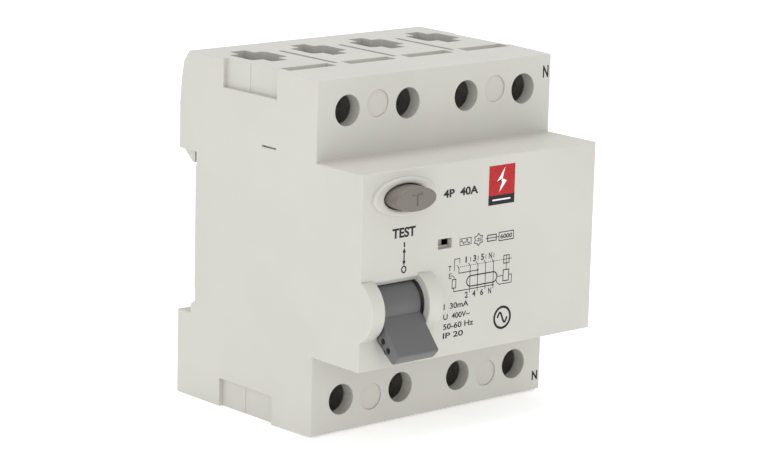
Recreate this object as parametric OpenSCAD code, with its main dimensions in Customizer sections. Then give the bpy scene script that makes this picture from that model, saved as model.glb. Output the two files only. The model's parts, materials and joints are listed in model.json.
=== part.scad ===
// Four-pole residual current device for a 35 mm rail.
// X runs across the poles, +Y into the rail, +Z up. The origin is on the rail seat, at its centre.

/* [Housing] */
// Width of one pole
pole_pitch = 18; // [17.9:0.1:18.2]
// Height of the housing
body_h = 83.2; // [82.8:0.2:84]
// Height of the nose that stands through the panel cut-out
nose_h = 45; // [44.6:0.2:45.4]
// Depth from the rail seat to the shoulders
shoulder_depth = 44.2; // [44:0.1:44.4]
// Depth from the rail seat to the front of the nose
nose_depth = 60.4; // [60.2:0.1:60.6]
// How far the back reaches behind the rail seat
back_depth = 6.4; // [6.3:0.1:6.6]
// Wall thickness of the two shells
wall = 2; // [1.8:0.1:2]

/* [Toggle lever] */
// Distance of the lever's axis below the rail's centre line
lever_drop = 8.7; // [8.5:0.1:8.8]
// Distance of the lever's axis in front of the rail seat
lever_front = 57.1; // [57:0.1:57.2]
// Radius of the lever's barrel
barrel_r = 5.4; // [5.3:0.05:5.5]
// Radius of the two cheek discs beside the lever
cheek_r = 7.65; // [7.4:0.05:7.8]

/* [Test button] */
// Width of the oval button
button_w = 11.8; // [11.4:0.1:12]
// Height of the oval button
button_h = 5.5; // [5.2:0.1:5.6]
// How far the button stands out of the nose
button_out = 4.5; // [4.2:0.1:4.8]

/* [Terminals] */
// Height of the terminal screws from the rail's centre line
screw_z = 33.6; // [33.5:0.1:33.8]
// Radius of the screwdriver access holes
access_r = 3.6; // [3.6:0.1:3.8]
// Radius of a terminal screw's thread
thread_r = 2.5; // [2.4:0.05:2.5]

/* [Hidden] */
$fn = 48;

pole_names = ["1", "2", "3", "n"];
pole_x = [for (i = [0 : 3]) (i - 1.5) * pole_pitch];
half_w = 2 * pole_pitch;
half_h = body_h / 2;
half_nose = nose_h / 2;
cut = 1;                        // how far a cutter runs past the face it opens

// Depths, all along Y
split_y = -30;                  // the two shells meet here
shoulder_y = -shoulder_depth;
nose_y = -nose_depth;
nose_inner_y = nose_y + wall;
lean = 0.45;                    // the ends lean in by this much from the split to the shoulders
shoulder_wall = 3.4;
bay_floor_y = -2;
terminal_floor_y = 0.7;

// Rail channel across the back
rail_top_z = 18;
rail_low_z = -21.2;
seat_half = 14.8;               // half height of the flat seat
seat_relief = 0.3;
hook_low_z = 15.1;
lip_y = 1.5;                    // the hooks start this far behind the seat
step_y = 1.3;                   // a step along the channel's lower edge, clear of the clips

// Mechanism bay and terminal bays
bay_x = half_w - wall;
bay_z = 24;
nose_bay_z = half_nose - wall;
terminal_half_w = 6.4;
terminal_in_z = 26;
terminal_out_z = half_h - wall;

// Cable entries: two crossed rectangles with rounded ends
entry_y = -11.8;
entry_half_w = 5.3;
entry_half_long = 8.1;
entry_arm_w = 4.5;
entry_arm_long = 2.3;

// Clips that hold the lower edge of the rail
clip_x = pole_pitch;
clip_half_w = 5;
clip_travel = 3.5;
clip_front_y = 2.4;
clip_back_y = 6.2;

// Case screws and the plugs over them
case_screw_x = pole_pitch;
case_screw_z = 34.4;
case_screw_r = 1.6;
plug_r = 3.1;
plug_y = [0.35, 1.6];            // behind the shoulder
head_y = [-42.5, -41.3];

// Lever, link and carrier
lever_y = -lever_front;
lever_z = -lever_drop;
slot_x = [-32, -18.9];          // opening between the cheeks
slot_gap = 0.35;
cheek_thick = 4.1;              // the right-hand cheek
cheek_hollow = 2.6;             // depth of the hollow in it, which is open to the bay at the back
lever_x = [-31.5, -19.7];
paddle_x = [-31.5, -19.3];
lever_turn = 84;
pin_r = 1.05;
crank_r = 3;
crank_angle = 150;              // from +Y towards +Z, lever at rest
carrier_y = -21.5;
carrier_z = -3;
carrier_r = 3.5;
stub_r = 2;                     // the carrier's ends turn in the base
carrier_turn = 24;
carrier_crank_r = 10;
carrier_crank_angle = 112;
latch_y = -39;
latch_z = 15;
trip_y = -46;
trip_z = 6;
link_x = [-19.6, -19.1];
link_from = [lever_y + crank_r * cos(crank_angle), lever_z + crank_r * sin(crank_angle)];
link_to = [
    carrier_y + carrier_crank_r * cos(carrier_crank_angle),
    carrier_z + carrier_crank_r * sin(carrier_crank_angle)
];

// Line and load bars
bar_half_w = 4;
bar_front_y = -17;
bar_back_y = -15.5;
contact_z = 12;

// Terminal cages
cage_half_w = 5.5;
cage_half_h = 4.2;
cage_front_y = -22.8;
cage_back_y = -0.8;
cage_thread_wall = 2.8;
cage_wall = 1.4;

// Button
button_x = -23.8;
button_z = 16.4;
boss_size = [18.6, 9];
boss_out = 0.8;

// Toroid and relay
toroid_x = 2;
toroid_y = -44;
toroid_z = [-16, -6.5];
toroid_r = [7.5, 13];
relay_x = [20, 33];
relay_y = [-56, -40];
relay_z = [-18.5, -2];
plunger_x = 26.5;
plunger_y = -50;

// Colours
shell_grey = [0.83, 0.825, 0.8];
lever_grey = [0.44, 0.44, 0.45];
button_grey = [0.51, 0.48, 0.45];
steel = [0.72, 0.72, 0.7];
copper = [0.78, 0.45, 0.28];

// ---- Helpers ----

// A box from one corner to the other
module block(x, y, z) {
    translate([x[0], y[0], z[0]]) cube([x[1] - x[0], y[1] - y[0], z[1] - z[0]]);
}

module rod_x(r, x, y, z) {
    translate([x[0], y, z]) rotate([0, 90, 0]) cylinder(r = r, h = x[1] - x[0]);
}

module rod_y(r, x, y, z) {
    translate([x, y[1], z]) rotate([90, 0, 0]) cylinder(r = r, h = y[1] - y[0]);
}

module rod_z(r, x, y, z) {
    translate([x, y, z[0]]) cylinder(r = r, h = z[1] - z[0]);
}

// An outline in Y and Z, made solid between two X values
module slab_x(x, outline) {
    translate([x[0], 0, 0]) rotate([90, 0, 90]) linear_extrude(x[1] - x[0]) polygon(outline);
}

// An oval in X and Z, made solid between two Y values
module oval_y(size, x, y, z) {
    outline = [for (i = [0 : 47]) [size[0] / 2 * cos(i * 7.5), size[1] / 2 * sin(i * 7.5)]];
    translate([x, y[1], z]) rotate([90, 0, 0]) linear_extrude(y[1] - y[0]) polygon(outline);
}

// Everything given, at the top and again mirrored at the bottom
module both_ends() {
    children();
    mirror([0, 0, 1]) children();
}

// A closed tube through rings of points, each ring with the same number of sides
module tube(points, sides) {
    rings = len(points) / sides;
    walls = [
        for (i = [0 : rings - 2]) for (k = [0 : sides - 1])
            let (a = i * sides + k, b = i * sides + (k + 1) % sides)
            [a, a + sides, b + sides, b]
    ];
    first_end = [for (k = [0 : sides - 1]) k];
    last_end = [for (k = [sides - 1 : -1 : 0]) (rings - 1) * sides + k];
    polyhedron(points, concat(walls, [first_end], [last_end]), convexity = 8);
}

// A coil spring along +Z from the origin
module coil(r, wire, turns, length) {
    sides = 6;
    steps = 12 * turns;
    tube([
        for (i = [0 : steps]) for (k = [0 : sides - 1])
            let (turn = i * 30, around = k * 360 / sides, out = r + wire * cos(around))
            [out * cos(turn), out * sin(turn), length * i / steps + wire * sin(around)]
    ], sides);
}

function unit(v) = v / norm(v);

// A route with each corner cut back, so that the wire bends in two steps
function eased(route, back) = [
    route[0],
    for (i = [1 : len(route) - 2]) each [
        route[i] - back * unit(route[i] - route[i - 1]),
        route[i] + back * unit(route[i + 1] - route[i])
    ],
    route[len(route) - 1]
];

// A round wire along a route; aside is any direction that the route never takes
module wire_path(route, r, aside) {
    sides = 8;
    points = eased(route, 1.5 * r);
    last = len(points) - 1;
    tube([
        for (i = [0 : last]) for (k = [0 : sides - 1])
            let (
                heading = unit(points[min(i + 1, last)] - points[max(i - 1, 0)]),
                across = unit(cross(heading, aside)),
                up = cross(across, heading)
            )
            points[i] + r * (across * cos(k * 45) + up * sin(k * 45))
    ], sides);
}

// ---- Base ----

module cable_entry(x, low, high) {
    block([x - entry_half_w + 1, x + entry_half_w - 1], [entry_y - entry_arm_w, entry_y + entry_arm_w], [low, high]);
    block([x - entry_half_w, x + entry_half_w], [entry_y - entry_arm_w + 1, entry_y + entry_arm_w - 1], [low, high]);
    block([x - entry_arm_long, x + entry_arm_long], [entry_y - entry_half_long, entry_y + entry_half_long], [low, high]);
    for (dx = [-1, 1]) for (dy = [-1, 1])
        rod_z(1, x + dx * (entry_half_w - 1), entry_y + dy * (entry_arm_w - 1), [low, high]);
}

// Slots in the end face, half in each shell
module end_face_slots() {
    for (x = pole_x) {
        block([x - 7, x + 7], [split_y - 1.9, split_y + 1.8], [half_h - 1.6, half_h + cut]);
        block([x + 4.8, x + 6], [split_y - 1.2, split_y + 1.2], [half_h - wall - cut, half_h + cut]);
    }
}

module side_recesses() {
    for (side = [-1, 1]) {
        face = side * half_w;
        block([face - 1.2, face + 1.2], [split_y - cut, -18.9], [34.8, half_h + cut]);
        block([face - 1.1, face + 1.1], [-19, -10.2], [34.8, half_h + cut]);
    }
}

module snap_slits() {
    for (side = [-1, 1])
        block([side * half_w - 1, side * half_w + 1], [split_y - cut, -24.8], [23.2, 23.6]);
}

module clip_channel(x) {
    block([x - 5.2, x + 5.2], [clip_front_y - 0.2, back_depth + cut], [-half_h - cut, rail_low_z + cut]);
    block([x - 6.1, x + 6.1], [3.4, 4.8], [-half_h - cut, rail_low_z + cut]);
}

module base_housing() {
    color(shell_grey) difference() {
        union() {
            difference() {
                block([-half_w, half_w], [split_y, back_depth], [-half_h, half_h]);
                block([-half_w - cut, half_w + cut], [0, back_depth + cut], [rail_low_z, rail_top_z]);
                block([-half_w - cut, half_w + cut], [-seat_relief, cut], [seat_half, rail_top_z]);
                block([-half_w - cut, half_w + cut], [-seat_relief, cut], [rail_low_z, -seat_half]);
                block([-bay_x, bay_x], [split_y - cut, bay_floor_y], [-bay_z, bay_z]);
                both_ends() for (x = pole_x)
                    block(
                        [x - terminal_half_w, x + terminal_half_w],
                        [split_y - cut, terminal_floor_y],
                        [terminal_in_z, terminal_out_z]
                    );
            }
            // Fixed hook over the rail's upper edge
            slab_x([-half_w + 1, half_w - 1], [
                [lip_y, rail_top_z + cut], [lip_y, hook_low_z], [lip_y + 0.9, hook_low_z],
                [back_depth - 0.8, rail_top_z - 0.2], [back_depth - 0.8, rail_top_z + cut]
            ]);
            // Step along the channel's lower edge
            slab_x([-half_w, half_w], [
                [-cut, -18], [0, -18], [step_y, -19], [step_y, rail_low_z - cut], [-cut, rail_low_z - cut]
            ]);
            // Post that carries the mechanism frame
            block([-16.4, -13.2], [-28, bay_floor_y + cut], [10, 18]);
        }
        // Bend at the top of the back
        slab_x([-half_w - cut, half_w + cut], [
            [back_depth, 29], [back_depth + cut, 29], [back_depth + cut, half_h + cut], [back_depth - 4.3, half_h + cut],
            [back_depth - 1.5, half_h - 2.6], [back_depth - 0.5, half_h - 7.4]
        ]);
        both_ends() {
            for (x = pole_x) {
                cable_entry(x, terminal_out_z - cut, half_h + cut);
                block(
                    [x - bar_half_w - 0.2, x + bar_half_w + 0.2],
                    [split_y - cut, bar_back_y + 0.1],
                    [bay_z - cut, terminal_in_z + cut]
                );
            }
            for (x = [-pole_pitch, 0, pole_pitch])
                block([x - 0.7, x + 0.7], [-29.2, -8.6], [half_h - 3.5, half_h + cut]);
            end_face_slots();
            side_recesses();
            for (x = [-case_screw_x, case_screw_x])
                rod_y(case_screw_r, x, [split_y - cut, -8], case_screw_z);
        }
        snap_slits();
        for (x = [-clip_x, clip_x]) clip_channel(x);
        // Seats for the ends of the contact carrier, open to the front
        for (middle = [-34.5, 34.5]) {
            seat_x = [middle - 0.55, middle + 0.55];
            block(seat_x, [split_y - cut, carrier_y], [carrier_z - stub_r - 0.05, carrier_z + stub_r + 0.05]);
            rod_x(stub_r + 0.05, seat_x, carrier_y, carrier_z);
        }
    }
    // Lugs that the clip springs push from
    color(shell_grey) for (x = [-clip_x, clip_x])
        block([x - 1.2, x + 1.2], [clip_front_y - 0.3, 4.6], [-34.5, -33]);
}

// ---- Cover ----

module front_cover() {
    color(shell_grey) difference() {
        union() {
            difference() {
                union() {
                    block([-half_w, half_w], [shoulder_y, split_y], [-half_h, half_h]);
                    block([-half_w, half_w], [nose_y, shoulder_y + cut], [-half_nose, half_nose]);
                }
                block([-bay_x, bay_x], [nose_inner_y, -39.9], [-nose_bay_z, nose_bay_z]);
                block([-bay_x, bay_x], [-40, split_y + cut], [-bay_z, bay_z]);
                both_ends() for (x = pole_x)
                    block(
                        [x - terminal_half_w, x + terminal_half_w],
                        [shoulder_y + shoulder_wall, split_y + cut],
                        [terminal_in_z, terminal_out_z]
                    );
            }
            // Cheek discs beside the lever
            rod_x(cheek_r, [-half_w, slot_x[0]], lever_y, lever_z);
            rod_x(cheek_r, [slot_x[1], slot_x[1] + cheek_thick], lever_y, lever_z);
            // Raised ring round the test button
            oval_y(boss_size, button_x, [nose_y - boss_out, nose_y + cut], button_z);
            // Ledge that guides the button's stem
            block([-28.4, -19.2], [-48, -46.5], [12, nose_bay_z + cut]);
            // Rails that guide the flag
            for (x = [-15.9, -6.2]) block([x, x + 1], [nose_inner_y - cut, -55.4], [-7, 10]);
            // Peg for the test blade
            rod_y(0.8, button_x, [-41, -39], 22.2);
        }
        both_ends() {
            slab_x([-half_w - cut, half_w + cut], [
                [split_y, half_h], [shoulder_y, half_h - lean], [shoulder_y - cut, half_h - lean],
                [shoulder_y - cut, half_h + cut], [split_y, half_h + cut]
            ]);
            for (x = pole_x) rod_y(access_r, x, [shoulder_y - cut, shoulder_y + shoulder_wall + cut], screw_z);
            for (x = [-case_screw_x, case_screw_x]) {
                rod_y(plug_r + 0.03, x, [shoulder_y - cut, head_y[1]], case_screw_z);
                rod_y(case_screw_r + 0.1, x, [head_y[1] - cut, split_y + cut], case_screw_z);
            }
            end_face_slots();
        }
        // Opening for the lever with the hollow in the right-hand cheek, and the bore for the pin
        rod_x(barrel_r + slot_gap, [slot_x[0], slot_x[1] + cheek_hollow], lever_y, lever_z);
        block(
            [slot_x[1] - 0.1, slot_x[1] + cheek_hollow],
            [lever_y + 2, lever_y + cheek_r + cut],
            [lever_z - barrel_r, lever_z + barrel_r]
        );
        rod_x(pin_r, [-34.8, slot_x[1] + cheek_thick - 0.6], lever_y, lever_z);
        // Sloped lip above the lever
        slab_x(slot_x, [
            [nose_y - cut, lever_z + 6.4], [nose_y, lever_z + 6.4], [lever_y - 2.2, lever_z + 5.3],
            [lever_y - 2.2, lever_z + 3.7], [nose_y - cut, lever_z + 3.7]
        ]);
        // Opening for the button
        oval_y([button_w + 0.4, button_h + 0.4], button_x, [nose_y - 2, nose_inner_y + cut], button_z);
        rod_y(1.65, button_x, [-49, -46], button_z);
        // Window for the flag: a recess with a smaller hole in it
        block([-13.1, -8.9], [nose_y - cut, nose_y + 1.6], [2.8, 5.1]);
        block([-12.1, -8.6], [nose_y + 1.5, nose_inner_y + cut], [3.2, 4.7]);
    }
}

module case_screws() {
    color(steel) both_ends() for (x = [-case_screw_x, case_screw_x]) difference() {
        union() {
            rod_y(3, x, head_y, case_screw_z);
            rod_y(case_screw_r, x, [head_y[1] - 0.1, -8.2], case_screw_z);
        }
        block([x - 2, x + 2], [head_y[0] - cut, head_y[0] + 0.6], [case_screw_z - 0.3, case_screw_z + 0.3]);
    }
}

module hole_plugs() {
    color(shell_grey) both_ends() for (x = [-case_screw_x, case_screw_x])
        rod_y(plug_r, x, [shoulder_y + plug_y[0], shoulder_y + plug_y[1]], case_screw_z);
}

// ---- Lever and drive ----

module toggle_lever() {
    paddle = [[-62.3, -10.2], [-68.9, -17.8], [-66.8, -20], [-61.2, -15.6], [-60.75, -13.3]];
    color(lever_grey) difference() {
        union() {
            rod_x(barrel_r, lever_x, lever_y, lever_z);
            slab_x(lever_x, concat([[lever_y, lever_z]], paddle));
            slab_x(paddle_x, paddle);
        }
        rod_x(pin_r + 0.05, [lever_x[0] - cut, lever_x[1] + cut], lever_y, lever_z);
        rod_x(1.02, [-25, lever_x[1] + cut], link_from[0], link_from[1]);
        // Pocket for the return spring
        rod_x(3.2, [lever_x[0] - cut, -28.2], lever_y, lever_z);
        // Two small holes in the paddle's side
        for (spot = [[-63.1, -15.25], [-64.9, -17]]) rod_x(0.65, [lever_x[0] - cut, lever_x[0] + 1.5], spot[0], spot[1]);
    }
}

module lever_pin() {
    color(steel) rod_x(pin_r, [-34.6, slot_x[1] + cheek_thick - 0.8], lever_y, lever_z);
}

module lever_spring() {
    color(steel) translate([lever_x[0] + 0.4, lever_y, lever_z]) rotate([0, 90, 0]) coil(2.45, 0.35, 3, 2.4);
}

module drive_link() {
    step = link_to - link_from;
    along = step / norm(step);
    across = [-along[1], along[0]];
    half = 1.2;
    color(steel) {
        difference() {
            union() {
                slab_x(link_x, [
                    link_from + across * half, link_from - across * half,
                    link_to - across * half, link_to + across * half
                ]);
                rod_x(half, link_x, link_from[0], link_from[1]);
                rod_x(2.7, link_x, link_to[0], link_to[1]);
            }
            rod_x(1.55, [link_x[0] - cut, link_x[1] + cut], link_to[0], link_to[1]);
        }
        rod_x(0.97, [-24.5, link_x[0] + 0.1], link_from[0], link_from[1]);
    }
}

module contact_carrier() {
    color([0.2, 0.2, 0.21]) {
        difference() {
            union() {
                rod_x(carrier_r, [-33.4, 33.4], carrier_y, carrier_z);
                rod_x(stub_r, [-34.9, 34.9], carrier_y, carrier_z);
                // Crank that the link drives
                slab_x([-18.3, -16.9], [
                    [carrier_y - 3.4, carrier_z], [carrier_y + 2, carrier_z + 2.5],
                    [link_to[0] + 2, link_to[1] + 0.6], [link_to[0] - 2, link_to[1]]
                ]);
                rod_x(2, [-18.3, -16.9], link_to[0], link_to[1]);
                rod_x(1, [-20.2, -18], link_to[0], link_to[1]);
                // Shelves that the contact springs push from
                for (x = pole_x) on_carrier(x) block([-1.8, 1.8], [-2.7, -1.7], [1, 6.4]);
            }
            // Pockets that hold the moving contacts
            for (x = pole_x) contact_arm(x, 2.1, 0.75, 4);
        }
    }
}

// Moves a shape drawn about the carrier's axis to one pole, tilted as at rest
module on_carrier(x) {
    translate([x, carrier_y, carrier_z]) rotate([carrier_turn, 0, 0]) children();
}

// A flat arm from the carrier's axis outwards
module contact_arm(x, half_width, half_thick, length) {
    on_carrier(x) block([-half_width, half_width], [1.2 - half_thick, 1.2 + half_thick], [-0.8, length]);
}

module moving_contact(x) {
    color(copper) contact_arm(x, 2, 0.7, 17);
    color(steel) on_carrier(x) rod_y(1.8, 0, [1.8, 2.8], contact_z - carrier_z);
}

module contact_springs() {
    color(steel) for (x = pole_x) on_carrier(x) translate([0, -1.45, 5.1]) rotate([-90, 0, 0]) coil(1, 0.2, 3, 1.7);
}

module mechanism_frame() {
    color(steel) {
        difference() {
            for (x = [-16.4, -14]) slab_x([x, x + 0.8], [
                [-28.9, 7], [-28.9, 18], [-42, 18], [-48, 9], [-48, 3.6], [-43, 3.6]
            ]);
            rod_x(1.06, [-17, -13], trip_y, trip_z);
        }
        difference() {
            block([-16.4, -13.2], [-29, -28], [10, 18]);
            rod_y(0.8, -14.8, [-30, -27], 14);
        }
        rod_x(1, [-15.7, -13.9], latch_y, latch_z);
    }
}

module latch() {
    color(steel) difference() {
        slab_x([-15.3, -14.3], [
            [-42.5, 17], [-36, 17], [-32.5, 10], [-33, 7.5], [-35.5, 9],
            [-38, 12.5], [-43.5, 12.5], [-43.5, 8.6], [-45.1, 8.6], [-45.1, 14]
        ]);
        rod_x(1.06, [-16, -13.6], latch_y, latch_z);
    }
}

module trip_bar() {
    color([0.85, 0.83, 0.75]) {
        rod_x(1.5, [-12.8, 33], trip_y, trip_z);
        rod_x(1, [-16.6, 33.8], trip_y, trip_z);
        // Tab over the relay's plunger
        block([plunger_x - 2, plunger_x + 2], [-51.2, trip_y], [5.3, 6.7]);
        block([plunger_x - 2, plunger_x + 2], [-51.2, -49.4], [4.7, 5.5]);
        // Finger that turns the latch
        block([-15.4, -14.2], [-46.6, -45.4], [5.2, 9.5]);
    }
}

// ---- Current path ----

module line_bar(x) {
    color(copper) block([x - bar_half_w, x + bar_half_w], [bar_front_y, bar_back_y], [9, 38.6]);
    color(steel) rod_y(2, x, [-18.2, bar_front_y], contact_z);
}

module load_bar(x) {
    color(copper) block([x - bar_half_w, x + bar_half_w], [bar_front_y, bar_back_y], [-38.6, -19]);
}

// Insulated wire from a contact arm, through the toroid, to a load bar
module conductor(i) {
    x = pole_x[i];
    side = x < 0 ? -1 : 1;
    outer = i == 0 || i == 3;
    hole_x = toroid_x + side * 2.6;
    hole_y = toroid_y + (outer ? -2.6 : 2.6);
    color([0.75, 0.3, 0.2]) wire_path([
        [x, -27, -6], [x - side * 1.5, -29.5, -2.4], [hole_x, hole_y, -1.5],
        [hole_x, hole_y, -18.2], [x, -25, -21], [x, bar_front_y, -21]
    ], 1.3, [1, 0, 0]);
}

// A ring about the toroid's axis
module toroid_ring(r, z) {
    difference() {
        rod_z(r[1], toroid_x, toroid_y, z);
        rod_z(r[0], toroid_x, toroid_y, [z[0] - cut, z[1] + cut]);
    }
}

module toroid_core() {
    color([0.35, 0.35, 0.37]) toroid_ring(toroid_r, toroid_z);
}

// The enamelled wire as one layer round a third of the core
module toroid_winding() {
    gap = 0.05;
    layer = 0.5;
    color([0.7, 0.35, 0.15]) difference() {
        intersection() {
            toroid_ring([toroid_r[0] - layer, toroid_r[1] + layer], [toroid_z[0] - layer, toroid_z[1] + layer]);
            translate([toroid_x, toroid_y, toroid_z[0] - cut]) linear_extrude(20) polygon([[0, 0], [25, -30], [25, 30]]);
        }
        toroid_ring([toroid_r[0] - gap, toroid_r[1] + gap], [toroid_z[0] - gap, toroid_z[1] + gap]);
    }
}

module relay_case() {
    color([0.15, 0.15, 0.16]) difference() {
        block(relay_x, relay_y, relay_z);
        rod_z(1.55, plunger_x, plunger_y, [-12, relay_z[1] + cut]);
        block(
            [relay_x[0] + 1.2, relay_x[1] - 1.2],
            [relay_y[1] - 4, relay_y[1] - 1.2],
            [relay_z[0] + 1.2, relay_z[1] - 1.2]
        );
    }
}

module relay_plunger() {
    color(steel) {
        rod_z(1.5, plunger_x, plunger_y, [-11, 4.4]);
    }
}

module arc_chutes() {
    for (x = pole_x) {
        color(steel) for (y = [-28.4 : 2.2 : -19]) block([x - 3.6, x + 3.6], [y, y + 0.8], [15.6, bay_z]);
        color([0.6, 0.35, 0.2]) for (side = [-1, 1])
            block([x + side * 3.75 - 0.25, x + side * 3.75 + 0.25], [-28.6, -18.6], [15.4, bay_z]);
    }
}

// ---- Test circuit ----

module test_button() {
    front = nose_y - button_out;
    color(button_grey) {
        difference() {
            oval_y([button_w, button_h], button_x, [front, nose_inner_y + 1], button_z);
            // Letter T, cut in
            block([button_x - 1.5, button_x + 1.5], [front - cut, front + 0.15], [button_z + 1, button_z + 1.6]);
            block([button_x - 0.3, button_x + 0.3], [front - cut, front + 0.15], [button_z - 1.4, button_z + 1.1]);
        }
        oval_y([button_w + 2, button_h + 2], button_x, [nose_inner_y + 0.1, nose_inner_y + 1.3], button_z);
        rod_y(1.5, button_x, [nose_inner_y + 1, -43], button_z);
    }
}

module test_spring() {
    color(steel) translate([button_x, -48.3, button_z]) rotate([90, 0, 0]) coil(2.3, 0.3, 5, 8.4);
}

module test_blade() {
    color([0.8, 0.6, 0.35]) difference() {
        union() {
            block([-26.2, -21.4], [-40, -39.6], [12.6, 23.8]);
            block([-21.5, -17.2], [-40, -39.6], [19, 21]);
        }
        rod_y(0.85, button_x, [-41, -39], 22.2);
    }
}

// The resistor between the test blade and the third conductor, on stiff leads
module test_resistor() {
    lead_y = -37.8;
    lead_z = 20.4;
    lead_ends = [-19, 5.5];
    color([0.35, 0.55, 0.6]) rod_x(1.6, [-11.5, -4.5], lead_y, lead_z);
    color(steel) {
        rod_x(0.35, lead_ends, lead_y, lead_z);
        rod_y(0.35, lead_ends[0], [-39.6, lead_y], lead_z);
        rod_z(0.35, lead_ends[1], lead_y, [-0.2, lead_z]);
        for (x = lead_ends) translate([x, lead_y, lead_z]) sphere(r = 0.4);
    }
}

module indicator_flag() {
    color([0.7, 0.65, 0.6]) {
        difference() {
            block([-14.6, -6.5], [nose_inner_y + 0.2, nose_inner_y + 1], [-5.5, 7.5]);
            // Cut-out beside the part that shows in the window
            block([-10.2, -6.5 + cut], [nose_inner_y, nose_inner_y + 2], [-1.8, 5.6]);
        }
        block([-12.5, -10.5], [nose_inner_y + 0.9, -54], [-2, -0.8]);
    }
}

// ---- Rail clips ----

module rail_clip(x) {
    color(shell_grey) difference() {
        union() {
            block([x - clip_half_w, x + clip_half_w], [clip_front_y, clip_back_y], [-half_h + 0.2, -17.5]);
            slab_x([x - clip_half_w, x + clip_half_w], [[lip_y, -17.6], [clip_back_y, -17.6], [3.2, -15], [lip_y, -15]]);
            block([x - 5.9, x + 5.9], [3.6, 4.6], [-40, -23]);
        }
        // Window for the spring, and a slot for the screwdriver
        block([x - 1.9, x + 1.9], [clip_front_y - cut, clip_back_y + cut], [-34.9, -26]);
        block([x - 3, x + 3], [clip_front_y - cut, clip_back_y + cut], [-39.4, -37.8]);
    }
}

module clip_spring(x) {
    color(steel) translate([x, 3.9, -32.7]) coil(1.3, 0.25, 5, 6.4);
}

// ---- Terminals ----

// The screw's head is inside the access hole and its tip rests on the bar
module terminal_screw(x) {
    color(steel) difference() {
        union() {
            rod_y(3.3, x, [-37.6, -34.3], screw_z);
            rod_y(thread_r, x, [-34.4, bar_front_y - 0.1], screw_z);
        }
        block([x - 4, x + 4], [-39, -36.2], [screw_z - 0.45, screw_z + 0.45]);
        block([x - 0.45, x + 0.45], [-39, -36.2], [screw_z - 2.2, screw_z + 2.2]);
    }
}

module terminal_cage(x) {
    color([0.75, 0.72, 0.62]) difference() {
        block(
            [x - cage_half_w, x + cage_half_w],
            [cage_front_y, cage_back_y],
            [screw_z - cage_half_h, screw_z + cage_half_h]
        );
        block(
            [x - cage_half_w + 1.2, x + cage_half_w - 1.2],
            [cage_front_y + cage_thread_wall, cage_back_y - cage_wall],
            [screw_z - cage_half_h - cut, screw_z + cage_half_h + cut]
        );
        rod_y(thread_r + 0.06, x, [cage_front_y - cut, cage_front_y + cage_thread_wall + cut], screw_z);
    }
}

// ---- Every node ----

base_housing();
front_cover();
case_screws();
hole_plugs();
toggle_lever();
lever_pin();
lever_spring();
drive_link();
mechanism_frame();
latch();
trip_bar();
contact_carrier();
contact_springs();
for (i = [0 : 3]) {
    pole = pole_names[i];
    x = pole_x[i];
    moving_contact(x);
    line_bar(x);
    load_bar(x);
    conductor(i);
    terminal_screw(x);
    mirror([0, 0, 1]) terminal_screw(x);
    terminal_cage(x);
    mirror([0, 0, 1]) terminal_cage(x);
}
toroid_core();
toroid_winding();
relay_case();
relay_plunger();
test_button();
test_spring();
test_blade();
test_resistor();
indicator_flag();
arc_chutes();
rail_clip(-clip_x);  // rail_clip_left
rail_clip(clip_x);  // rail_clip_right
clip_spring(-clip_x);  // clip_spring_left
clip_spring(clip_x);  // clip_spring_right
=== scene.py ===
"""A four-pole residual current device: the looks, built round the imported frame.

Lengths are in millimetres and turned into metres by MM. Only the studio's lights and floor are laid
out in metres. X runs across the poles, Y into the rail, Z up.
"""
import json
import math

import bmesh
import bpy
from mathutils import Matrix, Vector


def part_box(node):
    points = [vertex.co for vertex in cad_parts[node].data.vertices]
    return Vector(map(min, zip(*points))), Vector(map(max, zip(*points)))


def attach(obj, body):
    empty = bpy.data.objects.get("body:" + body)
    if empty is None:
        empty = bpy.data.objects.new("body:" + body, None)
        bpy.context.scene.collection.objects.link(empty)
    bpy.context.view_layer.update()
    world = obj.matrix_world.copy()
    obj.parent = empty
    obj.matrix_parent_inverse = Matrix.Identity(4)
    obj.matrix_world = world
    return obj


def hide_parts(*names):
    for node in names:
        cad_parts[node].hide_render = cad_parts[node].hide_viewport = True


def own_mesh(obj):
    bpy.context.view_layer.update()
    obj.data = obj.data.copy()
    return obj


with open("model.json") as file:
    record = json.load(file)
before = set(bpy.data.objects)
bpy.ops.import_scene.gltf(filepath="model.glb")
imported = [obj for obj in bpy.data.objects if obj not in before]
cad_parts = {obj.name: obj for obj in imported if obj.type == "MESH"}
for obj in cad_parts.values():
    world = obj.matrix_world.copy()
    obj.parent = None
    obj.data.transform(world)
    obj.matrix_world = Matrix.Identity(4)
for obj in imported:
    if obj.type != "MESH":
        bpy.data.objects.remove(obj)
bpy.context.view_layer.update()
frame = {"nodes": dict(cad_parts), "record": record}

MM = 0.001
X, Y, Z = 0, 1, 2
nodes = frame["nodes"]


def box_mm(node):
    """A node's lowest and highest corners in millimetres."""
    low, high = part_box(node)
    return low / MM, high / MM


def place_mm(rows, name):
    """Where the record puts a mount or a joint, in millimetres."""
    return Vector(next(row["pos_m"] for row in rows if row["name"] == name)) / MM


# ---- The device's measures ----

cover_high = box_mm("front_cover")[1]
base_low, base_high = box_mm("base_housing")
button_low, button_high = box_mm("test_button")

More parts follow.
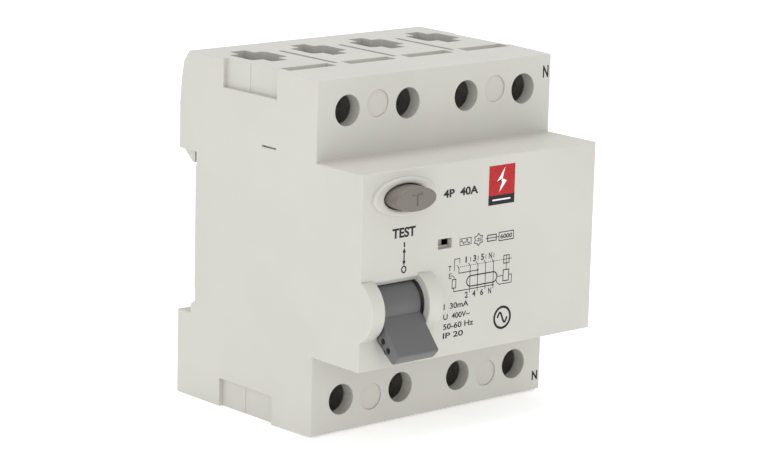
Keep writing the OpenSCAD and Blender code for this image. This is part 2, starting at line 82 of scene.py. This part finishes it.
HALF_W, HALF_H = cover_high.x, cover_high.z
BACK_Y = base_high.y
SPLIT_Y = base_low.y            # where the cover meets the base
SHOULDER_Y = -44.2              # the terminals' front face
NOSE_Y = place_mm(frame["record"]["mounts"], "nose").y
HALF_NOSE = 22.5                # half the nose's height
LEVER_AXIS = place_mm(frame["record"]["behaviour"]["joints"], "lever_toggle")
CHEEK_R = 7.65                  # the round cheeks beside the lever
CHEEKS_END_X = -14              # they lie left of this
BUTTON_LIP = 1                  # the button's hidden flange is this much wider all round
BUTTON_W = button_high.x - button_low.x - 2 * BUTTON_LIP
BUTTON_H = button_high.z - button_low.z - 2 * BUTTON_LIP
BUTTON_MIDDLE = (button_low + button_high) / 2
RING_LOW_Z = 10                 # the ring round the button lies above this
RING_STEP = 0.5                 # and stands out of the nose by more than this
TOUCH = 0.05                    # what is nearer than this lies on a plane


# ---- Camera, lights and floor ----

SENSOR_WIDTH = 36
FOCAL_LENGTH = 137.2
STUDIO_AIM = (0, -0.03, 0)      # metres, the middle of the device
LIGHTS = (                      # name, place and width in metres, power in watts
    ("front", (-0.3, -1.2, 0.4), 0.9, 2.9),
    ("side", (-1.0, -0.1, 0.4), 0.8, 2.0),
    ("top", (0.1, 0.1, 1.2), 0.7, 6.3),
)
WORLD_STRENGTH = 0.79
FLOOR_SPAN = 4.0                # metres from the middle to each side
FLOOR_GLOW = 0.32


def make_camera():
    """Looks at the nose from the left and a little above, slightly rolled."""
    turn, tilt, roll = math.radians(41.18), math.radians(12.36), math.radians(1.5)
    aim, distance = Vector((1.0, -27.8, 0.6)), 705.0
    ahead = math.cos(tilt)
    forward = Vector((math.sin(turn) * ahead, math.cos(turn) * ahead, -math.sin(tilt)))
    level = forward.cross(Vector((0, 0, 1))).normalized()
    right = level * math.cos(roll) + level.cross(forward) * math.sin(roll)
    up = right.cross(forward)
    data = bpy.data.cameras.new("camera")
    data.lens = FOCAL_LENGTH
    data.sensor_width = SENSOR_WIDTH
    data.clip_start = 0.05
    camera = bpy.data.objects.new("camera", data)
    axes = Matrix((right, up, -forward)).transposed().to_4x4()
    camera.matrix_world = Matrix.Translation((aim - forward * distance) * MM) @ axes
    bpy.context.scene.collection.objects.link(camera)
    bpy.context.scene.camera = camera


def area_light(name, place, size, power):
    """A square white lamp that faces the device."""
    data = bpy.data.lights.new(name, "AREA")
    data.shape = "SQUARE"
    data.size = size
    data.energy = power
    lamp = bpy.data.objects.new(name, data)
    lamp.location = place
    lamp.rotation_euler = (Vector(STUDIO_AIM) - Vector(place)).to_track_quat("-Z", "Y").to_euler()
    bpy.context.scene.collection.objects.link(lamp)


def make_world():
    world = bpy.data.worlds.new("studio")
    world.use_nodes = True
    background = world.node_tree.nodes["Background"]
    background.inputs["Color"].default_value = (1, 1, 1, 1)
    background.inputs["Strength"].default_value = WORLD_STRENGTH
    bpy.context.scene.world = world
    bpy.context.scene.view_settings.view_transform = "Standard"


def make_floor():
    """A paper sheet under the device's lower end."""
    mesh = bpy.data.meshes.new("floor")
    span, drop = FLOOR_SPAN, -HALF_H * MM
    corners = [(-span, -span, drop), (span, -span, drop), (span, span, drop), (-span, span, drop)]
    mesh.from_pydata(corners, [], [(0, 1, 2, 3)])
    floor = bpy.data.objects.new("floor", mesh)
    bpy.context.scene.collection.objects.link(floor)
    floor.data.materials.append(studio_floor())


def make_studio():
    make_world()
    for light in LIGHTS:
        area_light(*light)
    make_floor()


# ---- Materials ----

RAMP_LOW, RAMP_HIGH = 0.35, 0.65    # where the noise starts and stops changing the colour
BRUSH_STRETCH = (1, 1, 14)


def shader_graph(name):
    """A new material with its Principled shader, and functions that add and wire nodes."""
    material = bpy.data.materials.new(name)
    material.use_nodes = True
    tree = material.node_tree
    shader = tree.nodes["Principled BSDF"]
    where = tree.nodes.new("ShaderNodeTexCoord").outputs["Object"]

    def add(kind, **settings):
        node = tree.nodes.new(kind)
        for key, value in settings.items():
            if isinstance(value, bpy.types.NodeSocket):
                tree.links.new(value, node.inputs[key])
            elif key in node.inputs:
                node.inputs[key].default_value = value
            else:
                setattr(node, key, value)
        return node

    def link(socket, target):
        tree.links.new(socket, target)

    return material, shader, where, add, link


def noise(add, where, scale, detail=2.0, rough=0.5):
    """Noise whose scale is in waves a metre."""
    texture = add("ShaderNodeTexNoise", Vector=where, Scale=scale, Detail=detail, Roughness=rough)
    return texture.outputs["Fac"]


def blend_colours(add, factor, low, high):
    ramp = add("ShaderNodeValToRGB", Fac=factor)
    first, last = ramp.color_ramp.elements
    first.position, first.color = RAMP_LOW, (*low, 1)
    last.position, last.color = RAMP_HIGH, (*high, 1)
    return ramp.outputs["Color"]


def varied(colour, amount):
    """The colour made darker and lighter by a share of itself."""
    return tuple(c * (1 - amount) for c in colour), tuple(min(1, c * (1 + amount)) for c in colour)


def gloss_between(add, factor, low, high):
    gloss = add("ShaderNodeMapRange", Value=factor)
    gloss.inputs["To Min"].default_value = low
    gloss.inputs["To Max"].default_value = high
    return gloss.outputs["Result"]


def moulded(name, colour, rough=0.5, grain=0.25):
    """Moulded plastic: a fine spark-eroded grain, slow colour drift and a little change in gloss."""
    material, shader, where, add, link = shader_graph(name)
    drift = noise(add, where, scale=45, detail=3)
    link(blend_colours(add, drift, *varied(colour, 0.02)), shader.inputs["Base Color"])
    polish = noise(add, where, scale=300, detail=2)
    link(gloss_between(add, polish, rough - 0.05, rough + 0.05), shader.inputs["Roughness"])
    fine = noise(add, where, scale=4 / MM, detail=2, rough=0.6)
    bump = add("ShaderNodeBump", Height=fine, Strength=grain, Distance=0.03 * MM)
    link(bump.outputs["Normal"], shader.inputs["Normal"])
    shader.inputs["IOR"].default_value = 1.5
    return material


def metal(name, colour, rough=0.3, brushed=False):
    """Bare or plated metal, with a drawn or tumbled finish."""
    material, shader, where, add, link = shader_graph(name)
    tarnish = noise(add, where, scale=260, detail=4)
    link(blend_colours(add, tarnish, *varied(colour, 0.06)), shader.inputs["Base Color"])
    if brushed:
        stretched = add("ShaderNodeMapping", Vector=where)
        stretched.inputs["Scale"].default_value = BRUSH_STRETCH
        where = stretched.outputs["Vector"]
    texture = noise(add, where, scale=2500, detail=3)
    link(gloss_between(add, texture, rough - 0.08, rough + 0.12), shader.inputs["Roughness"])
    bump = add("ShaderNodeBump", Height=texture, Strength=0.2, Distance=0.02 * MM)
    link(bump.outputs["Normal"], shader.inputs["Normal"])
    shader.inputs["Metallic"].default_value = 1.0
    return material


def printed(name, colour, rough=0.45):
    """Pad-printed ink, a little uneven."""
    material, shader, where, add, link = shader_graph(name)
    cover = noise(add, where, scale=1800, detail=3)
    link(blend_colours(add, cover, *varied(colour, 0.15)), shader.inputs["Base Color"])
    fine = noise(add, where, scale=5000)
    bump = add("ShaderNodeBump", Height=fine, Strength=0.15, Distance=0.01 * MM)
    link(bump.outputs["Normal"], shader.inputs["Normal"])
    shader.inputs["Roughness"].default_value = rough
    shader.inputs["Specular IOR Level"].default_value = 0.2
    return material


def studio_floor():
    """Plain paper sweep: almost white, with the faintest tooth."""
    material, shader, where, add, link = shader_graph("studio_paper")
    tooth = blend_colours(add, noise(add, where, scale=3), (0.93, 0.93, 0.93), (0.95, 0.95, 0.95))
    link(tooth, shader.inputs["Base Color"])
    shader.inputs["Roughness"].default_value = 0.9
    shader.inputs["Specular IOR Level"].default_value = 0.1
    shader.inputs["Emission Color"].default_value = (1, 1, 1, 1)
    shader.inputs["Emission Strength"].default_value = FLOOR_GLOW
    return material


def make_materials():
    """The record's slots, and the finishes that scene pieces add to them."""
    return {
        "shell": moulded("shell_plastic", (0.5, 0.494, 0.457), rough=0.46),
        "plug": moulded("plug_plastic", (0.5, 0.488, 0.443), rough=0.5),
        "lever": moulded("lever_plastic", (0.098, 0.098, 0.1), rough=0.42, grain=0.35),
        "button": moulded("button_plastic", (0.152, 0.134, 0.116), rough=0.4, grain=0.3),
        "black_moulding": moulded("black_moulding", (0.03, 0.03, 0.032), rough=0.5),
        "cream_moulding": moulded("cream_moulding", (0.66, 0.6, 0.45), rough=0.5),
        "flag": moulded("flag_plastic", (0.44, 0.37, 0.33), rough=0.5),
        "steel": metal("spring_steel", (0.5, 0.5, 0.5), rough=0.3),
        "zinc_steel": metal("zinc_plated_steel", (0.42, 0.42, 0.38), rough=0.34, brushed=True),
        "copper": metal("tinned_copper", (0.62, 0.36, 0.23), rough=0.32, brushed=True),
        "wire_insulation": moulded("wire_insulation", (0.25, 0.05, 0.03), rough=0.4),
        "core": metal("lacquered_core", (0.1, 0.1, 0.11), rough=0.4),
        "winding": metal("enamelled_wire", (0.42, 0.16, 0.06), rough=0.25),
        "spring_brass": metal("spring_brass", (0.62, 0.42, 0.18), rough=0.28),
        "resistor": moulded("resistor_lacquer", (0.08, 0.2, 0.25), rough=0.25),
        "ink": printed("black_ink", (0.012, 0.012, 0.014)),
        "red": printed("red_ink", (0.39, 0.015, 0.017), rough=0.4),
        "white": printed("white_ink", (0.8, 0.79, 0.78), rough=0.4),
    }


# ---- Pieces made from the CAD nodes ----

WELD = 0.0005 * MM              # corners this close are one
SLIVER = 0.002 * MM             # edges shorter than this are taken out after the rounding
FLAT_TURN = math.radians(0.5)   # faces that turn by less than this become one
EDGE_TURN = math.radians(25)    # edges that turn by more than this can be rounded
SMOOTH_TURN = 32                # degrees between faces that are shaded as one
ROUNDING_STEPS = 3
FACES_AXIS = 0.99               # how straight a normal has to lie along an axis
CLOSE = 0.3                     # how far a face's centre may be from the plane it is taken for


def new_piece(name, mesh, slot, body, material=None):
    """Adds a piece that moves with a body and takes its finish from a material slot."""
    piece = bpy.data.objects.new(name, mesh)
    bpy.context.scene.collection.objects.link(piece)
    mesh.materials.clear()
    mesh.materials.append(materials[material or slot])
    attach(piece, body)
    return piece


def shade(mesh):
    """Smooth normals: each corner sums, by area, the faces that turn by less than SMOOTH_TURN."""
    limit = math.cos(math.radians(SMOOTH_TURN))
    around = [[] for _ in mesh.vertices]
    for face in mesh.polygons:
        for index in face.vertices:
            around[index].append((face.normal.copy(), face.area))
    normals = []
    for face in mesh.polygons:
        for index in face.vertices:
            total = face.normal * 1e-12     # so that a corner with no area keeps its face's normal
            for normal, area in around[index]:
                if normal.dot(face.normal) > limit:
                    total += normal * area
            normals.append(total.normalized())
    mesh.polygons.foreach_set("use_smooth", [True] * len(mesh.polygons))
    mesh.normals_split_custom_set(normals)


def whole_faces(node):
    """A CAD node's shape with its corners welded and its flat faces whole."""
    bm = bmesh.new()
    bm.from_mesh(nodes[node].data)
    bmesh.ops.remove_doubles(bm, verts=bm.verts, dist=WELD)
    bmesh.ops.dissolve_limit(bm, angle_limit=FLAT_TURN, verts=bm.verts, edges=bm.edges)
    bm.normal_update()
    return bm


def weigh_edges(bm, radius_of, widest):
    """Gives each edge its radius, as a share of the widest.

    radius_of takes an edge's middle (mm), its two faces' normals and centres (mm) and whether it
    stands out, and gives a radius in mm.
    """
    weight = bm.edges.layers.float.new("bevel_weight_edge")
    for edge in bm.edges:
        if edge.is_manifold and edge.calc_face_angle() > EDGE_TURN:
            middle = (edge.verts[0].co + edge.verts[1].co) / 2 / MM
            sides = [(face.normal, face.calc_center_median() / MM) for face in edge.link_faces]
            edge[weight] = min(1.0, radius_of(middle, sides, edge.is_convex) / widest)


def rounded(mesh, widest):
    """A copy of a mesh with its weighted edges rounded."""
    scratch = bpy.data.objects.new(mesh.name, mesh)
    bpy.context.scene.collection.objects.link(scratch)
    rounding = scratch.modifiers.new("rounding", "BEVEL")
    rounding.limit_method = "WEIGHT"
    rounding.width = widest * MM
    rounding.segments = ROUNDING_STEPS
    rounding.use_clamp_overlap = False
    rounding.miter_outer = "MITER_ARC"
    depsgraph = bpy.context.evaluated_depsgraph_get()
    result = bpy.data.meshes.new_from_object(scratch.evaluated_get(depsgraph))
    bpy.data.objects.remove(scratch)
    return result


def drop_slivers(mesh):
    bm = bmesh.new()
    bm.from_mesh(mesh)
    bmesh.ops.dissolve_degenerate(bm, dist=SLIVER, edges=bm.edges)
    bm.to_mesh(mesh)
    bm.free()


def softened(node, radius_of, widest):
    """A copy of a CAD node with its edges rounded as radius_of says."""
    bm = whole_faces(node)
    weigh_edges(bm, radius_of, widest)
    mesh = bpy.data.meshes.new(node + "_cut")
    bm.to_mesh(mesh)
    bm.free()
    result = rounded(mesh, widest)
    bpy.data.meshes.remove(mesh)
    drop_slivers(result)
    shade(result)
    return result


def lies_in(side, axis, value):
    """Whether a face, given as its normal and centre, lies in the plane where the axis has the value."""
    normal, centre = side
    return abs(normal[axis]) > FACES_AXIS and abs(centre[axis] - value) < CLOSE


def on_case_outside(side):
    """Whether a face is one of the case's outer faces."""
    planes = [(X, HALF_W), (X, -HALF_W), (Z, HALF_H), (Z, -HALF_H), (Y, NOSE_Y), (Y, SHOULDER_Y)]
    planes += [(Z, HALF_NOSE), (Z, -HALF_NOSE), (Y, BACK_Y)]
    return any(lies_in(side, axis, value) for axis, value in planes)


def from_lever_axis(middle):
    return math.hypot(middle.y - LEVER_AXIS.y, middle.z - LEVER_AXIS.z)


RING_ROUND = 0.7                # the radii on the case; the first is the widest
CHEEK_ROUND, CHEEK_FOOT = 0.35, 0.1
CASE_EDGE, CASE_CORNER = 0.3, 0.2   # between two outer faces: standing out, and going in
RIM_ROUND = 0.13                # round the openings


def case_radius(middle, sides, stands_out):
    """A soft edge round the case, its cheeks and the button's ring, less on the openings' rims."""
    if abs(middle.y - SPLIT_Y) < TOUCH:
        return 0
    on_cheek = abs(from_lever_axis(middle) - CHEEK_R) < 2 * TOUCH and middle.x < CHEEKS_END_X
    if middle.y < NOSE_Y + TOUCH and on_cheek:
        return CHEEK_ROUND if stands_out else CHEEK_FOOT
    if middle.y < NOSE_Y - RING_STEP and middle.z > RING_LOW_Z:
        return RING_ROUND if stands_out else 0
    outside = sum(on_case_outside(side) for side in sides)
    if outside == 2:
        return CASE_EDGE if stands_out else CASE_CORNER
    return RIM_ROUND if outside == 1 and stands_out else 0


def make_case():
    for node, name in (("front_cover", "cover"), ("base_housing", "base")):
        piece = new_piece(name, softened(node, case_radius, RING_ROUND), "shell", "housing")
        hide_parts(node)


BARREL_EDGE, PADDLE_EDGE = 5, 6     # the lever's edges farther from its axis than these are rounded
BARREL_ROUND, PADDLE_ROUND = 0.15, 0.5


def lever_radius(middle, sides, stands_out):
    """A soft edge round the paddle, a finer one on the barrel's ends."""
    from_axis = from_lever_axis(middle)
    if from_axis > PADDLE_EDGE and stands_out:
        return PADDLE_ROUND
    return BARREL_ROUND if stands_out and from_axis > BARREL_EDGE else 0


def make_lever():
    mesh = softened("toggle_lever", lever_radius, PADDLE_ROUND)
    piece = new_piece("lever_handle", mesh, "lever", "lever")
    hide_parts("toggle_lever")


BUTTON_ROUND = 0.3
BUTTON_RIM = 0.45               # the rim lies past this share of the width and height; its letter doesn't


def button_radius(middle, sides, stands_out):
    """Rounds the rim of the button's front face."""
    at_front = any(abs(centre.y - button_low.y) < TOUCH for _, centre in sides)
    across = (middle.x - BUTTON_MIDDLE.x) / BUTTON_W
    upward = (middle.z - BUTTON_MIDDLE.z) / BUTTON_H
    on_rim = math.hypot(across, upward) > BUTTON_RIM
    return BUTTON_ROUND if stands_out and at_front and on_rim else 0


def make_button():
    mesh = softened("test_button", button_radius, BUTTON_ROUND)
    piece = new_piece("button_cap", mesh, "button", "button")
    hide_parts("test_button")


# ---- Print ----

PRINT_LIFT = 0.012              # the print stands this far out of the face
PRINT_DEPTH = 0.01              # and goes this far into it
STROKE = 1.4                    # all drawn lines are made this much bolder
CAPITAL = 0.73                  # height of a capital in Blender's own font, for a size of 1
SHORTEST_MITRE = 0.35           # keeps sharp corners from growing long points
DOT_TURN = 24                   # degrees between the corners of a dot
LETTER_WELD = 1e-5              # in letters of size 1: corners this close are one
LETTER_TURN = math.radians(1)   # and faces that turn by less than this become one


def mesh_from(name, verts, faces):
    """A mesh from points in millimetres."""
    mesh = bpy.data.meshes.new(name)
    mesh.from_pydata([(x * MM, y * MM, z * MM) for x, y, z in verts], [], faces)
    mesh.update()
    return mesh


def letter_shapes(name, text, weight):
    """Lettering in Blender's own font, one unit thick along Z, as a bmesh."""
    curve = bpy.data.curves.new(name, "FONT")
    curve.body = text
    curve.offset = weight
    holder = bpy.data.objects.new(name, curve)
    bpy.context.scene.collection.objects.link(holder)
    depsgraph = bpy.context.evaluated_depsgraph_get()
    mesh = bpy.data.meshes.new_from_object(holder.evaluated_get(depsgraph))
    bpy.data.objects.remove(holder)
    bm = bmesh.new()
    bm.from_mesh(mesh)
    bpy.data.meshes.remove(mesh)
    bmesh.ops.remove_doubles(bm, verts=bm.verts, dist=LETTER_WELD)
    bmesh.ops.dissolve_limit(bm, angle_limit=LETTER_TURN, verts=bm.verts, edges=bm.edges)
    raised = bmesh.ops.extrude_face_region(bm, geom=list(bm.faces))
    for element in raised["geom"]:
        if isinstance(element, bmesh.types.BMVert):
            element.co.z = 1
    bmesh.ops.recalc_face_normals(bm, faces=bm.faces)
    return bm


class Print:
    """Strokes and letters laid on a flat face: u runs to the reader's right, v up."""

    def __init__(self, name, face_y, ink="ink"):
        self.name, self.ink = name, ink
        self.front_y = face_y - PRINT_LIFT
        self.back_y = face_y + PRINT_DEPTH
        self.verts, self.faces = [], []

    def prism(self, outline):
        """A filled shape whose outline runs anticlockwise as read."""
        n, start = len(outline), len(self.verts)
        self.verts += [(u, self.front_y, v) for u, v in outline]
        self.verts += [(u, self.back_y, v) for u, v in outline]
        self.faces.append(tuple(start + i for i in range(n)))
        self.faces.append(tuple(start + n + i for i in reversed(range(n))))
        for i in range(n):
            j = (i + 1) % n
            self.faces.append((start + i, start + n + i, start + n + j, start + j))

    def line(self, points, width, closed=False):
        """A stroke with mitred corners."""
        width *= STROKE
        pts = [Vector(p) for p in points]
        count = len(pts)
        left, right = [], []
        for i, point in enumerate(pts):
            before = pts[i - 1] if i or closed else None
            after = pts[(i + 1) % count] if i < count - 1 or closed else None
            ways = [(point - before).normalized()] if before is not None else []
            ways += [(after - point).normalized()] if after is not None else []
            way = sum(ways, Vector((0, 0))).normalized()
            side = Vector((-way.y, way.x))
            reach = width / 2 / max(SHORTEST_MITRE, way.dot(ways[0]))
            left.append(point + side * reach)
            right.append(point - side * reach)
        for i in range(count if closed else count - 1):
            j = (i + 1) % count
            self.prism([right[i], right[j], left[j], left[i]])

    def box(self, u0, v0, u1, v1, width):
        self.line([(u0, v0), (u1, v0), (u1, v1), (u0, v1)], width, closed=True)

    def patch(self, u0, v0, u1, v1):
        self.prism([(u0, v0), (u1, v0), (u1, v1), (u0, v1)])

    def dashes(self, start, end, dash=0.32, gap=0.26, width=0.11):
        a, b = Vector(start), Vector(end)
        way, reach = (b - a).normalized(), (b - a).length
        at = 0.0
        while at < reach:
            self.line([a + way * at, a + way * min(reach, at + dash)], width)
            at += dash + gap

    def dot(self, u, v, r):
        turns = [math.radians(t) for t in range(0, 360, DOT_TURN)]
        self.prism([(u + r * math.cos(t), v + r * math.sin(t)) for t in turns])

    def words(self, text, left, base, height, width, weight=0.022):
        """Lettering fitted into a box: height is that of its capitals, weight makes it bolder."""
        bm = letter_shapes(self.name + "_words", text, weight)
        low_u, high_u = min(v.co.x for v in bm.verts), max(v.co.x for v in bm.verts)
        scale_u, scale_v = width / (high_u - low_u), height / CAPITAL
        # Both are sorted, because the extrusion leaves them in an order that changes from run to run.
        index = {}
        for vert in sorted(bm.verts, key=lambda vert: tuple(vert.co)):
            index[vert] = len(self.verts)
            u = left + (vert.co.x - low_u) * scale_u
            v = base + vert.co.y * scale_v
            self.verts.append((u, self.front_y if vert.co.z > 0.5 else self.back_y, v))
        faces = []
        for face in bm.faces:
            corners = [index[vert] for vert in face.verts]
            first = corners.index(min(corners))
            faces.append(tuple(corners[first:] + corners[:first]))
        self.faces += sorted(faces)
        bm.free()

    def done(self):
        mesh = mesh_from(self.name, self.verts, self.faces)
        new_piece(self.name, mesh, "shell", "housing", self.ink)


def ring_points(u, v, reach_u, reach_v, count=28):
    """Points on an ellipse, as a closed line."""
    turns = [2 * math.pi * i / count for i in range(count)]
    return [(u + reach_u * math.cos(t), v + reach_v * math.sin(t)) for t in turns]


def stadium_points(u0, v0, u1, v1, count=8):
    """A long oval with round ends, as a closed line."""
    r = (v1 - v0) / 2
    points = []
    for centre, start in ((u1 - r, -90), (u0 + r, 90)):
        for i in range(count + 1):
            t = math.radians(start + 180 * i / count)
            points.append((centre + r * math.cos(t), (v0 + v1) / 2 + r * math.sin(t)))
    return points


def make_switch_print():
    """The word above the lever, and the arrow between I and O."""
    art = Print("switch_marks", NOSE_Y)
    art.words("TEST", -26.9, 7.1, 2.2, 6.9, 0.035)
    middle, half_head = -23.25, 0.5
    left, right = middle - half_head, middle + half_head
    art.line([(middle, 4.75), (middle, 5.85)], 0.3)
    art.line([(middle, 1.3), (middle, 3.8)], 0.26)
    art.prism([(left, 3.5), (right, 3.5), (middle, 4.6)])
    art.prism([(left, 1.55), (middle, 0.5), (right, 1.55)])
    art.line(ring_points(middle, -0.38, 0.62, 0.72), 0.24, closed=True)
    art.done()


POLES = (-3.02, -0.66, 1.76, 4.24)  # the four poles in the circuit diagram, from left to right


def draw_poles(art):
    """Four open contacts on one dashed shaft, through the oval of the sum current transformer."""
    for u, above, below in zip(POLES, "135N", "246N"):
        art.line([(u, -0.2), (u, -1.2)], 0.13)
        art.line([(u - 0.6, -1.5), (u, -2.2), (u, -8.5)], 0.13)
        art.words(above, u - 1.55, -1.3, 1.45, 0.4 if above == "1" else 0.95)
        art.words(below, u - 1.45, -9.6, 1.45, 0.95)
    art.dashes((-6.2, -2.1), (7.3, -2.1))
    art.line(stadium_points(-4.0, -7.05, 5.4, -4.6), 0.2, closed=True)


def draw_relay(art):
    """The relay fed by the transformer, and the trip element above it."""
    middle, right, feed, back = 8.25, 9.1, -5.9, -7.85
    art.box(7.35, -7.2, right, -4.6, 0.17)
    art.line([(5.4, feed), (7.35, feed)], 0.13)
    art.line([(right, feed), (10.0, feed), (10.0, back), (6.2, back), (5.5, -7.4), (5.2, -6.7)], 0.13)
    art.box(7.4, -3.05, right, -1.2, 0.15)
    art.line([(middle, -1.2), (middle, -3.05)], 0.11)
    art.line([(7.4, -2.1), (9.95, -2.1)], 0.11)
    art.line([(middle, -3.05), (middle, -4.6)], 0.12)


def draw_test_circuit(art):
    """The button's contact and its letter, the resistor, and the lines back to two poles."""
    feed, back, down = -3.53, -7.66, -7.9
    art.line([(down, -2.8), (down, -0.1), (-6.3, -0.1), (-6.3, -1.2)], 0.13)
    art.line([(-7.1, -1.6), (-6.5, -2.35), (-6.5, feed), (POLES[1], feed)], 0.14)
    art.dot(POLES[1], feed, 0.24)
    art.words("T", -9.75, -2.62, 1.2, 0.9)
    art.line([(-8.75, -3.3), (-9.45, -3.3), (-9.45, -4.4), (-8.75, -4.4)], 0.14)
    art.line([(-9.45, -3.85), (-8.45, -3.85), (down, -4.3), (down, -4.8)], 0.12)
    art.box(-8.45, -6.8, -7.35, -4.8, 0.15)
    art.line([(down, -6.8), (down, back), (POLES[3], back)], 0.14)
    art.dot(POLES[3], back, 0.24)


def make_diagram_print():
    art = Print("circuit_diagram", NOSE_Y)
    draw_poles(art)
    draw_relay(art)
    draw_test_circuit(art)
    art.done()


def star_points(u, v, outer, inner, points=6):
    """A star with its first point up, as a closed line."""
    star = []
    for i in range(2 * points):
        reach = outer if i % 2 == 0 else inner
        turn = math.radians(180 / points * i)
        star.append((u + reach * math.sin(turn), v + reach * math.cos(turn)))
    return star


def make_symbol_print():
    """The row of pictograms: current forms, cold star, back-up fuse and a boxed rating."""
    art = Print("symbol_row", NOSE_Y)
    art.box(-6.45, 2.9, -3.0, 4.4, 0.12)
    art.line([(-6.2, 3.65), (-5.9, 4.05), (-5.6, 3.65), (-5.3, 3.25), (-5.0, 3.65)], 0.14)
    art.line([(-4.7, 3.3), (-4.5, 4.0), (-4.2, 4.1), (-4.0, 3.3), (-3.3, 3.3)], 0.14)
    art.line(star_points(-0.72, 3.62, 1.42, 1.0), 0.15, closed=True)
    art.words("-25", -1.42, 3.2, 0.85, 1.4)
    art.line([(1.55, 3.5), (5.6, 3.5)], 0.13)
    art.box(2.1, 2.8, 4.8, 4.2, 0.16)
    art.box(5.65, 2.5, 10.2, 4.45, 0.15)
    art.words("6000", 6.1, 2.95, 1.05, 3.65)
    art.done()


RATINGS = (                     # text, height of its foot on the nose, and width
    ("I  30mA", -11.5, 7.6),
    ("U  400V~", -13.9, 8.1),
    ("50-60 Hz", -16.2, 9.3),
    ("IP 20", -18.3, 6.2),
)


def make_rating_print():
    art = Print("rating_lines", NOSE_Y)
    art.words("4P  40A", -11.9, 14.6, 1.8, 10.6, 0.035)
    for text, base, width in RATINGS:
        art.words(text, -10.85, base, 1.32, width, 0.02)
    art.done()


def make_pole_letters():
    """The letter beside the fourth pole's upper and lower terminal."""
    art = Print("pole_letters", SHOULDER_Y)
    art.words("N", 33.4, 35.7, 2.9, 1.8, 0.03)
    art.words("N", 33.4, -38.6, 2.2, 1.8, 0.04)
    art.done()


def make_ring_mark():
    """A ring round a plain sine wave."""
    art = Print("wave_mark", NOSE_Y)
    u, v, reach = 7.5, -15.88, 2.5
    art.line(ring_points(u, v, reach, reach, 40), 0.42, closed=True)
    half_wave, swing, steps = 1.5, 1.2, 20
    turns = [2 * math.pi * i / steps for i in range(steps + 1)]
    wave = [(u + half_wave * (t / math.pi - 1), v + swing * math.sin(t)) for t in turns]
    art.line(wave, 0.36)
    art.done()


def make_label():
    """A two-colour label: red with a white bolt over a dark band with a white bar."""
    left, right, foot, seam, top = 1.95, 10.05, 11.1, 13.3, 20.3
    red = Print("label_red", NOSE_Y, "red")
    red.patch(left, seam, right, top)
    red.done()
    dark = Print("label_band", NOSE_Y)
    dark.patch(left, foot, right, seam)
    dark.done()
    white = Print("label_bolt", NOSE_Y - PRINT_LIFT, "white")
    upper, elbow = (6.9, 19.7), (6.15, 17.1)
    white.prism([upper, (4.5, 16.5), (5.75, 16.5)])
    white.prism([upper, (5.75, 16.5), elbow])
    white.prism([(4.5, 16.5), (7.5, 16.5), elbow])
    white.prism([(5.1, 13.9), (7.5, 16.5), (6.15, 16.5)])
    white.patch(3.2, 12.05, 8.8, 12.4)
    white.done()


# ---- Coil springs ----

SPRINGS = (                     # node, joint, axis that it shortens along, and travel
    ("test_spring", "test_press", Y, 2.5),
    ("clip_spring_left", "clip_slide_left", Z, 3.5),
    ("clip_spring_right", "clip_slide_right", Z, 3.5),
)


def make_springs():
    """The coil springs are shown as copies of their nodes, carried with the housing."""
    for node, joint, axis, travel in SPRINGS:
        piece = new_piece(node + "_coil", nodes[node].data.copy(), slots[node], "housing")
        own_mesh(piece)
        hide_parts(node)


def dress_nodes():
    """Gives every CAD node the finish of its slot; the plugs have one of their own."""
    for name, node in nodes.items():
        node.data.materials.clear()
        node.data.materials.append(materials["plug" if name == "hole_plugs" else slots[name]])


materials = make_materials()
slots = {row["node"]: row["material_slot"] for row in frame["record"]["subparts"]}
make_camera()
make_studio()
dress_nodes()
make_case()
make_lever()
make_button()
make_switch_print()
make_diagram_print()
make_symbol_print()
make_rating_print()
make_pole_letters()
make_ring_mark()
make_label()
make_springs()
